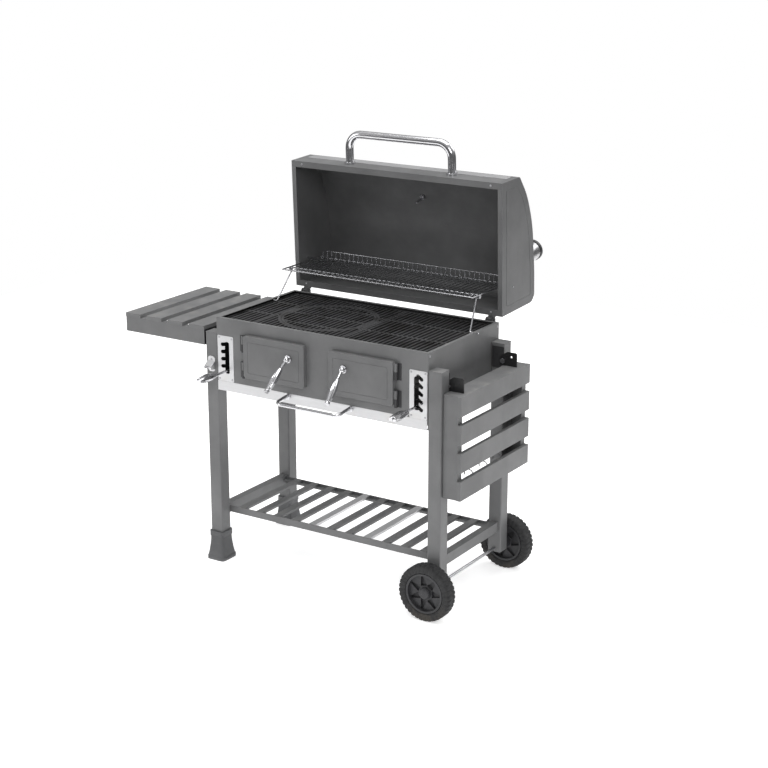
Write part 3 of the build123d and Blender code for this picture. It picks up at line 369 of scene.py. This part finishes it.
nodeFinish = {
    "body": ["leg_front_left", "leg_rear_left", "leg_front_right", "leg_rear_right", "shelf_frame",
             "hood_end_left", "hood_end_right", "door_left", "door_right", "leg_caps"],
    "firebox": ["firebox_front", "firebox_back", "firebox_side_left", "firebox_side_right"],
    "leftTable": ["table_frame_left"],
    "rightTable": ["table_frame_right"],
    "shadedHood": ["hood_shell"],
    "slat": ["table_slats_left", "table_slats_right", "shelf_slats"],
    "blackPaint": ["table_pivots", "door_hinge_leaves", "hood_hinge_ears", "hood_knuckles", "chimney_cap",
                   "inner_rails", "lift_pivots"],
    "enamel": ["coal_pan_left", "coal_pan_right"],
    "stainless": ["ash_drawer_front", "hood_trim"],
    "plate": ["slot_plates", "bottle_opener"],
    "brightSlat": ["shelf_slats_bright"],
    "pipe": ["chimney"],
    "chrome": ["drawer_pull", "hood_handle", "latch_lever_left", "latch_lever_right",
               "coal_lift_left", "coal_lift_right"],
    "wire": ["warming_rack", "rack_legs"],
    "zinc": ["axle", "thermometer", "table_pins"],
    "iron": ["grate_left", "grate_middle", "grate_right", "grate_round_insert"],
    "plastic": ["rim_front", "rim_rear", "lock_knob_left", "lock_knob_right"],
    "tray": ["ash_tray"],
}
for finishName, members in nodeFinish.items():
    for member in members:
        slots = frame["nodes"][member].data.materials
        slots.clear()
        slots.append(finishes[finishName])
print("finishes on", sum(len(members) for members in nodeFinish.values()), "frame nodes")


# mesh helpers: a surface is worked out on a grid of two parameters
def gridFaces(rows, columns, wrapRows, wrapColumns):
    rowCount = rows if wrapRows else rows - 1
    columnCount = columns if wrapColumns else columns - 1
    row, column = np.meshgrid(np.arange(rowCount), np.arange(columnCount), indexing="ij")
    nextRow = (row + 1) % rows
    nextColumn = (column + 1) % columns
    corners = [row * columns + column, row * columns + nextColumn,
               nextRow * columns + nextColumn, nextRow * columns + column]
    return np.stack(corners, axis=-1).reshape(-1, 4)


def addPiece(name, points, faces, finish, body, caps=(), smooth=True):
    # points (n, 3) and quads (m, 4) go in as whole arrays; caps are rings closed by one face each
    mesh = bpy.data.meshes.new(name)
    allFaces = [list(map(int, face)) for face in faces] + [list(map(int, cap)) for cap in caps]
    mesh.from_pydata(np.asarray(points, dtype=float).tolist(), [], allFaces)
    mesh.update()
    mesh.polygons.foreach_set("use_smooth", [smooth] * len(mesh.polygons))
    mesh.materials.append(finish)
    piece = bpy.data.objects.new(name, mesh)
    bpy.context.scene.collection.objects.link(piece)
    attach(piece, body)
    return piece


def basis(direction):
    # two unit vectors square to a direction, right-handed with it
    forward = np.asarray(direction, dtype=float)
    forward = forward / np.linalg.norm(forward)
    helper = np.array([0.0, 0.0, 1.0]) if abs(forward[2]) < 0.9 else np.array([1.0, 0.0, 0.0])
    side = np.cross(helper, forward)
    side /= np.linalg.norm(side)
    return side, np.cross(forward, side), forward


def turned(origin, direction, along, radius, count=48, flute=None):
    # a turned form: at distance along the axis the point stands radius away, at every angle;
    # flute adds a small ripple that depends on both parameters
    side, up, forward = basis(direction)
    angle = np.linspace(0.0, 2 * pi, count, endpoint=False)
    distance = np.asarray(along)[:, None] + 0.0 * angle[None, :]
    reach = np.asarray(radius)[:, None] + 0.0 * angle[None, :]
    if flute is not None:
        reach = reach + flute(np.asarray(along)[:, None], angle[None, :])
    points = (np.asarray(origin) + distance[..., None] * forward
              + (reach * np.cos(angle))[..., None] * side + (reach * np.sin(angle))[..., None] * up)
    faces = gridFaces(len(along), count, False, True)
    caps = [list(range(count))[::-1], [(len(along) - 1) * count + step for step in range(count)]]
    return points.reshape(-1, 3), faces, caps


def joined(parts):
    # several (points, faces, caps) in one mesh
    points, faces, caps, start = [], [], [], 0
    for partPoints, partFaces, partCaps in parts:
        points.append(partPoints)
        faces.append(np.asarray(partFaces) + start)
        caps += [[index + start for index in cap] for cap in partCaps]
        start += len(partPoints)
    return np.concatenate(points), np.concatenate(faces), caps


# tyres: a superellipse section carried round the wheel, cut into two staggered rows of lugs
tyre = {"lugs": 36, "perLug": 12, "section": 56, "grooveDepth": 2.6 * mm, "square": 0.42, "shoulder": 0.35}


def tyrePiece(name, node, joint, body):
    # section point = (half width * cos^q, half depth * sin^q); depth falls by the groove where a lug ends
    low, high = nodeBox(node)
    centre = jointPlace(joint)
    outer = (high[0] - low[0]) / 2
    inner = nodeBox(node.replace("tyre", "rim"))
    inner = (inner[1][0] - inner[0][0]) / 2
    halfWidth = (high[1] - low[1]) / 2
    middle = (low[1] + high[1]) / 2
    turn = np.linspace(0.0, 2 * pi, tyre["lugs"] * tyre["perLug"], endpoint=False)[:, None]
    about = np.linspace(0.0, 2 * pi, tyre["section"], endpoint=False)[None, :]
    square = tyre["square"]
    across = halfWidth * np.sign(np.cos(about)) * np.abs(np.cos(about)) ** square
    rise = (outer - inner) / 2 * np.sign(np.sin(about)) * np.abs(np.sin(about)) ** square
    phase = np.where(across > 0.0, 0.5, 0.0) + np.abs(across) / halfWidth * 0.22
    wave = np.cos(tyre["lugs"] * turn + 2 * pi * phase)
    groove = 1.0 / (1.0 + np.exp(-9.0 * (wave - 0.45)))
    rib = np.exp(-(across / (0.09 * halfWidth)) ** 2)
    outwards = 1.0 / (1.0 + np.exp(-16.0 * (rise / ((outer - inner) / 2) - tyre["shoulder"])))
    cut = np.maximum(groove, 0.7 * rib) * outwards * tyre["grooveDepth"]
    radius = (outer + inner) / 2 + rise - cut
    sideways = across * (1.0 - 0.035 * groove * (np.abs(across) > 0.93 * halfWidth))
    points = np.stack([centre[0] + radius * np.cos(turn), middle + sideways + 0.0 * turn,
                       centre[2] + radius * np.sin(turn)], axis=-1)
    faces = gridFaces(turn.shape[0], about.shape[1], True, True)
    piece = addPiece(name, points.reshape(-1, 3), faces[:, ::-1], finishes["tyre"], body)
    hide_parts(node)
    return piece


tyrePiece("frontTyre", "tyre_front", "front_wheel_spin", "front_wheel")
tyrePiece("rearTyre", "tyre_rear", "rear_wheel_spin", "rear_wheel")

# hub caps: a stepped dome over each wheel's outer hub
hub = {"radius": 17.5 * mm, "proud": 1.5 * mm, "rings": 40}


def hubCap(name, body, way):
    # height over the hub = rise * (1 - r^4)^0.5, with two shallow pressed rings
    rim = nodeBox("rim_front" if way < 0 else "rim_rear")
    axle = nodeBox("axle")
    centre = jointPlace("front_wheel_spin" if way < 0 else "rear_wheel_spin")
    face = rim[0][1] + 3.0 * mm if way < 0 else rim[1][1] - 3.0 * mm
    end = axle[0][1] if way < 0 else axle[1][1]
    rise = abs(end - face) + hub["proud"]
    share = np.sin(np.linspace(0.0, 1.0, hub["rings"]) * pi / 2)
    radius = hub["radius"] * share
    height = rise * (1.0 - share ** 4) ** 0.5 - 0.35 * mm * (1.0 + np.cos(share * 5.0 * pi)) * (1.0 - share)
    height[-1] = 0.0
    radius[0] = 0.2 * mm
    origin = np.array([centre[0], face, centre[2]])
    points, faces, caps = turned(origin, (0, way, 0), height[::-1], radius[::-1], 48)
    return addPiece(name, points, faces, finishes["plastic"], body, caps)


hubCap("frontHubCap", "front_wheel", -1)
hubCap("rearHubCap", "rear_wheel", 1)
print("wheels done")

# feet: a rounded square section that flares down to the floor
foot = {
    "band": 13.0 * mm, "collar": 19.0 * mm, "waist": 0.735, "flare": 1.7, "square": 0.30, "levels": 40,
    "depth": 74.0 * mm, "around": 64}


def footParts():
    # half width at height z = waist + (base - waist) * (1 - t)^flare, t running up between band and collar
    low, high = nodeBox("feet")
    height = high[2]
    depth = foot["depth"] / 2
    parts = []
    for name in ("leg_front_left", "leg_rear_left"):
        legLow, legHigh = nodeBox(name)
        centre = (legLow + legHigh) / 2
        halfWidth = (high[0] - low[0]) / 2
        level = np.concatenate([
            [0.0, 0.4 * mm, foot["band"] - 1.0 * mm, foot["band"]],
            np.linspace(foot["band"], height - foot["collar"], foot["levels"])[1:],
            [height - foot["collar"] + 0.5 * mm, height - 1.5 * mm, height - 0.5 * mm, height]])
        climb = np.clip((level - foot["band"]) / (height - foot["collar"] - foot["band"]), 0.0, 1.0)
        size = foot["waist"] + (0.955 - foot["waist"]) * (1.0 - climb) ** foot["flare"]
        size = np.where(level < foot["band"] - 0.5 * mm, 1.0, size)
        size = np.where(level > height - foot["collar"], foot["waist"] + 0.045, size)
        size[0] -= 0.02
        size[-1] -= 0.03
        angle = np.linspace(0.0, 2 * pi, foot["around"], endpoint=False)
        x = np.sign(np.cos(angle)) * np.abs(np.cos(angle)) ** foot["square"]
        y = np.sign(np.sin(angle)) * np.abs(np.sin(angle)) ** foot["square"]
        points = np.stack([
            centre[0] + size[:, None] * halfWidth * x, centre[1] + size[:, None] * depth * y,
            level[:, None] + 0.0 * x], axis=-1).reshape(-1, 3)
        count = foot["around"]
        faces = gridFaces(len(level), count, False, True)
        caps = [list(range(count))[::-1], [(len(level) - 1) * count + step for step in range(count)]]
        parts.append((points, faces, caps))
    return joined(parts)


points, faces, caps = footParts()
feet = addPiece("flaredFeet", points, faces, finishes["foot"], "cart", caps)
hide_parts("feet")

# grips: turned barrels with a spiral of shallow flutes
grip = {"flutes": 9, "depth": 0.55 * mm, "twist": 55.0, "steps": 70, "around": 72}
latchGrip = {
    "way": (9.0, -94.0, -81.0), "boss": 10.0 * mm, "from": 38.0 * mm, "to": 116.0 * mm,
    "radii": (7.4 * mm, 10.9 * mm, 7.4 * mm)}
liftGrip = {
    "rod": 4.0 * mm, "front": 3.5 * mm, "length": 77.0 * mm, "radii": (7.0 * mm, 11.6 * mm, 8.0 * mm)}


def fluted(start, end, nearRadius, midRadius, farRadius, name, body):
    # radius = sine blend of near, middle and far; flutes = depth * cos(n * angle + twist * distance)
    start, end = np.asarray(start), np.asarray(end)
    length = np.linalg.norm(end - start)
    share = np.linspace(0.0, 1.0, grip["steps"])
    radius = nearRadius + (farRadius - nearRadius) * share
    radius = radius + (midRadius - (nearRadius + farRadius) / 2) * np.sin(pi * share) ** 1.3
    radius[0] *= 0.82
    radius[-1] *= 0.80
    fade = np.sin(pi * np.clip(share, 0.0, 1.0)) ** 0.5

    def flute(along, angle):
        ripple = np.cos(grip["flutes"] * angle + grip["twist"] * along)
        return grip["depth"] * ripple * fade[:, None]

    points, faces, caps = turned(start, end - start, share * length, radius, grip["around"], flute)
    return addPiece(name, points, faces, finishes["chrome"], body, caps)


for sideName, side in (("left", -1), ("right", 1)):
    boss = jointPlace(sideName + "_latch_turn")
    start = np.array([boss[0], boss[1] - latchGrip["boss"], boss[2]])
    direction = np.array(latchGrip["way"]) * (side, 1.0, 1.0)
    direction /= np.linalg.norm(direction)
    fluted(start + direction * latchGrip["from"], start + direction * latchGrip["to"], *latchGrip["radii"],
           sideName + "LatchGrip", sideName + "_latch")
    low, high = nodeBox("coal_lift_" + sideName)
    axisX = low[0] + liftGrip["rod"] if side < 0 else high[0] - liftGrip["rod"]
    front = np.array([axisX, low[1] + liftGrip["front"], (low[2] + high[2]) / 2])
    back = front + np.array([0.0, liftGrip["length"], 0.0])
    fluted(back, front, *liftGrip["radii"], sideName + "LiftGrip", sideName + "_lift")
print("grips and feet done")

# screw heads: a low dome with a cross recess
screw = {
    "radius": 3.4 * mm, "rise": 1.7 * mm, "slot": 0.55 * mm, "deep": 0.9 * mm, "rings": 12, "around": 40,
    "sunk": 0.3 * mm, "plateInsets": (6.5 * mm, 54.5 * mm), "plateRow": 7.0 * mm, "sideInset": 7.5 * mm,
    "sideDrop": 12.0 * mm, "openerSheet": 2.5 * mm, "openerDrop": 10.0 * mm, "hoodInset": 3.5 * mm,
    "hoodTopFace": 1.7 * mm, "hoodLowFace": 0.2 * mm}


def screwPart(place, direction, radius):
    # height = rise * (1 - r^2), less a recess where either cross arm is near
    side, up, forward = basis(direction)
    share = np.linspace(1.0, 0.02, screw["rings"])[:, None]
    angle = np.linspace(0.0, 2 * pi, screw["around"], endpoint=False)[None, :]
    first = share * radius * np.cos(angle)
    second = share * radius * np.sin(angle)
    near = np.minimum(np.abs(first), np.abs(second))
    recess = np.exp(-(near / screw["slot"]) ** 4) * (share < 0.68)
    height = screw["rise"] * (1.0 - share ** 2) ** 0.6 - screw["deep"] * recess
    points = (np.asarray(place) + first[..., None] * side + second[..., None] * up
              + height[..., None] * forward)
    base = (np.asarray(place) + first[:1, :, None] * side + second[:1, :, None] * up
            - screw["sunk"] * forward)
    points = np.concatenate([base, points])
    count = screw["around"]
    faces = gridFaces(screw["rings"] + 1, count, False, True)
    caps = [list(range(count))[::-1], [screw["rings"] * count + step for step in range(count)]]
    return points.reshape(-1, 3), faces, caps


def bodyScrews():
    parts = []
    plateLow, plateHigh = nodeBox("slot_plates")
    centreX = (plateLow[0] + plateHigh[0]) / 2
    half = (plateHigh[0] - plateLow[0]) / 2
    for side in (-1, 1):
        for inset in screw["plateInsets"]:
            for z in (plateLow[2] + screw["plateRow"], plateHigh[2] - screw["plateRow"]):
                place = (centreX + side * (half - inset), plateLow[1], z)
                parts.append(screwPart(place, (0, -1, 0), screw["radius"]))
    for name, way in (("firebox_side_left", -1), ("firebox_side_right", 1)):
        low, high = nodeBox(name)
        face = low[0] if way < 0 else high[0]
        for y in (low[1] + screw["sideInset"], high[1] - screw["sideInset"]):
            parts.append(screwPart((face, y, high[2] - screw["sideDrop"]), (way, 0, 0), screw["radius"]))
    openerLow, openerHigh = nodeBox("bottle_opener")
    place = ((openerLow[0] + openerHigh[0]) / 2, openerHigh[1] - screw["openerSheet"],
             openerHigh[2] - screw["openerDrop"])
    parts.append(screwPart(place, (0, -1, 0), screw["radius"]))
    return joined(parts)


points, faces, caps = bodyScrews()
cartScrews = addPiece("crossScrews", points, faces, finishes["zinc"], "cart", caps)
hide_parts("body_screws")

# the hood leans, so its screws follow the lean of its mouth
lean = radians(2.3)  # how far back the open hood leans
mouthOut = np.array([0.0, -cos(lean), -sin(lean)])


def hoodScrews():
    low, high = nodeBox("hood_screws")
    parts = []
    inset = screw["hoodInset"]
    for x in (low[0] + inset, high[0] - inset):
        for y, z in ((high[1] - screw["hoodLowFace"], low[2] + inset),
                     (low[1] + screw["hoodTopFace"], high[2] - inset)):
            parts.append(screwPart((x, y, z), mouthOut, screw["radius"]))
    return joined(parts)


points, faces, caps = hoodScrews()
rimScrews = addPiece("hoodCrossScrews", points, faces, finishes["zinc"], "hood", caps)
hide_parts("hood_screws")

# thermometer dial on the outside of the hood: face, ticks and needle
dial = {
    "radius": 29.0 * mm, "ticks": 25, "sweep": 270.0, "tick": 4.0 * mm, "needle": 22.0 * mm,
    "outwards": 0.9447, "upwards": 0.3278, "rimBand": 0.4 * mm, "dome": 0.6 * mm, "sunk": 0.2 * mm,
    "margin": 3.0 * mm, "tickWidth": 0.8 * mm, "tickThick": 0.3 * mm, "tickLift": 0.45 * mm,
    "longTick": 1.6, "needleAngle": 205.0, "needleWidth": 1.4 * mm, "needleThick": 0.4 * mm,
    "needleLift": 0.75 * mm, "needleShift": 0.36}
dialWay = np.array([0.0, cos(lean) * dial["outwards"] - sin(lean) * dial["upwards"],
                    sin(lean) * dial["outwards"] + cos(lean) * dial["upwards"]])
dialSide, dialUp, dialForward = basis(dialWay)
caseVertices = frame["nodes"]["thermometer"].data.vertices
nodePoints = np.empty(len(caseVertices) * 3)
caseVertices.foreach_get("co", nodePoints)
nodePoints = nodePoints.reshape(-1, 3)
depthAlong = nodePoints @ dialForward
rimPoints = nodePoints[depthAlong > depthAlong.max() - dial["rimBand"]]
dialTop = (rimPoints.min(axis=0) + rimPoints.max(axis=0)) / 2
share = np.linspace(0.0, 1.0, 14)
dialRadius = dial["radius"] * np.sin(share * pi / 2)
dialRise = dial["dome"] * np.sqrt(np.clip(1.0 - share ** 2, 0.0, 1.0))
dialRadius[0] = 0.1 * mm
points, faces, caps = turned(dialTop - dialForward * dial["sunk"], dialForward,
                             dialRise[::-1], dialRadius[::-1], 64)
addPiece("dialFace", points, faces, finishes["dial"], "hood", caps)


def barPart(centre, along, across, outwards, length, width, thick):
    # a thin bar with four edges: a two by four grid closed at both ends
    corners = [(-1, -1), (1, -1), (1, 1), (-1, 1)]
    points = [centre + along * length / 2 * end + across * width / 2 * a + outwards * thick / 2 * b
              for end in (-1, 1) for a, b in corners]
    return np.array(points), gridFaces(2, 4, False, True), [[3, 2, 1, 0], [4, 5, 6, 7]]


marks = []
for index in range(dial["ticks"]):
    angle = radians(-dial["sweep"] / 2 + dial["sweep"] * index / (dial["ticks"] - 1) + 90.0)
    outward = dialSide * cos(angle) + dialUp * sin(angle)
    across = np.cross(dialForward, outward)
    length = dial["tick"] * (dial["longTick"] if index % 4 == 0 else 1.0)
    middle = dialTop + outward * (dial["radius"] - dial["margin"] - length / 2)
    middle = middle + dialForward * dial["tickLift"]
    marks.append(barPart(middle, outward, across, dialForward, length, dial["tickWidth"], dial["tickThick"]))
needleAngle = radians(dial["needleAngle"])
needleWay = dialSide * cos(needleAngle) + dialUp * sin(needleAngle)
middle = dialTop + needleWay * dial["needle"] * dial["needleShift"] + dialForward * dial["needleLift"]
marks.append(barPart(middle, needleWay, np.cross(dialForward, needleWay), dialForward, dial["needle"],
                     dial["needleWidth"], dial["needleThick"]))
points, faces, caps = joined(marks)
addPiece("dialMarks", points, faces, finishes["plastic"], "hood", caps, False)
print("screws and dial done")

# weld beads where the pull bar meets its flanges
bead = {
    "ripples": 22, "size": 1.1 * mm, "depth": 0.16, "around": 96, "section": 12, "ring": 5.9 * mm,
    "inX": 9.0 * mm, "inY": 6.0 * mm, "down": 9.0 * mm}


def beadPart(centre, direction, radius):
    # a ring of weld: tube radius ripples round the ring
    side, up, forward = basis(direction)
    around = np.linspace(0.0, 2 * pi, bead["around"], endpoint=False)[:, None]
    section = np.linspace(0.0, 2 * pi, bead["section"], endpoint=False)[None, :]
    size = bead["size"] * (1.0 + bead["depth"] * np.cos(bead["ripples"] * around))
    reach = radius + size * np.cos(section)
    lift = size * np.sin(section)
    points = (np.asarray(centre) + (reach * np.cos(around))[..., None] * side
              + (reach * np.sin(around))[..., None] * up + lift[..., None] * forward)
    return points.reshape(-1, 3), gridFaces(bead["around"], bead["section"], True, True), []


pullLow, pullHigh = nodeBox("drawer_pull")
beads = [beadPart((x, pullHigh[1] - bead["inY"], pullHigh[2] - bead["down"]), (0, -1, 0), bead["ring"])
         for x in (pullLow[0] + bead["inX"], pullHigh[0] - bead["inX"])]
points, faces, caps = joined(beads)
addPiece("pullBeads", points, faces, finishes["chrome"], "ash_drawer")

# light, floor and camera
studio = {"around": 0.16, "above": 0.75, "key": 70.0, "fill": 60.0, "rim": 60.0, "top": 120.0, "floor": 0.90,
          "glow": 0.55, "reach": 3.4}
look = {
    "place": (3.05767, -4.49452, 2.21444), "yaw": 32.6582, "pitch": 16.8784, "focal": 1757.137,
    "frame": 768.0, "sensor": 36.0}
scene = bpy.context.scene

floorMesh = bpy.data.meshes.new("studioFloor")
reach = studio["reach"]
corners = [(-reach, -reach, 0.0), (reach, -reach, 0.0), (reach, reach, 0.0), (-reach, reach, 0.0)]
floorMesh.from_pydata(corners, [], [(0, 1, 2, 3)])
floor = bpy.data.objects.new("studioFloor", floorMesh)
scene.collection.objects.link(floor)
floorFinish = Finish("paleFloor", Roughness=0.9, Emission_Strength=studio["glow"],
                     Emission_Color=(1.0, 1.0, 1.0, 1.0),
                     Base_Color=(studio["floor"], studio["floor"], studio["floor"], 1.0))
floorMesh.materials.append(floorFinish.material)

world = bpy.data.worlds.new("studio")
scene.world = world
world.use_nodes = True
worldTree = world.node_tree
worldTree.nodes.clear()


def worldNode(kind, **links):
    node = worldTree.nodes.new(kind)
    for key, value in links.items():
        target = node.inputs[int(key[1:])]
        if isinstance(value, bpy.types.NodeSocket):
            worldTree.links.new(value, target)
        else:
            target.default_value = value
    return node


# dim at the sides, brighter overhead, and plain white behind the object
height = worldNode("ShaderNodeSeparateXYZ", i0=worldNode("ShaderNodeTexCoord").outputs["Generated"])
lift = worldNode("ShaderNodeMapRange", i0=height.outputs[2], i1=0.1, i2=0.9,
                 i3=studio["around"], i4=studio["above"])
ambient = worldNode("ShaderNodeBackground", i0=(1.0, 1.0, 1.0, 1.0), i1=lift.outputs[0])
white = worldNode("ShaderNodeBackground", i0=(1.0, 1.0, 1.0, 1.0), i1=1.0)
seen = worldNode("ShaderNodeLightPath").outputs["Is Camera Ray"]
blend = worldNode("ShaderNodeMixShader", i0=seen, i1=ambient.outputs[0], i2=white.outputs[0])
worldNode("ShaderNodeOutputWorld", i0=blend.outputs[0])


def softbox(name, place, target, size, power):
    light = bpy.data.lights.new(name, "AREA")
    light.shape = "RECTANGLE"
    light.size, light.size_y = size
    light.energy = power
    lamp = bpy.data.objects.new(name, light)
    lamp.location = place
    lamp.rotation_euler = (Vector(target) - Vector(place)).to_track_quat("-Z", "Y").to_euler()
    scene.collection.objects.link(lamp)
    return lamp


softbox("keyLight", (3.4, -3.6, 3.6), (0.0, 0.0, 0.7), (2.2, 2.2), studio["key"])
softbox("fillLight", (-4.2, -3.2, 2.4), (0.0, 0.0, 0.7), (2.6, 2.6), studio["fill"])
softbox("rimLight", (1.5, 4.2, 3.4), (0.0, 0.2, 0.9), (2.6, 1.6), studio["rim"])
softbox("topLight", (0.0, 0.2, 4.4), (0.0, 0.0, 0.5), (3.2, 3.2), studio["top"])

camera = bpy.data.objects.new("camera", bpy.data.cameras.new("camera"))
camera.data.sensor_width = look["sensor"]
camera.data.lens = look["focal"] / look["frame"] * look["sensor"]
camera.data.clip_end = 60.0
yaw, pitch = radians(look["yaw"]), radians(look["pitch"])
forward = Vector((-sin(yaw) * cos(pitch), cos(yaw) * cos(pitch), -sin(pitch)))
camera.location = look["place"]
camera.rotation_euler = forward.to_track_quat("-Z", "Y").to_euler()
scene.collection.objects.link(camera)
scene.camera = camera
scene.view_settings.view_transform = "Standard"
print("light and camera done")
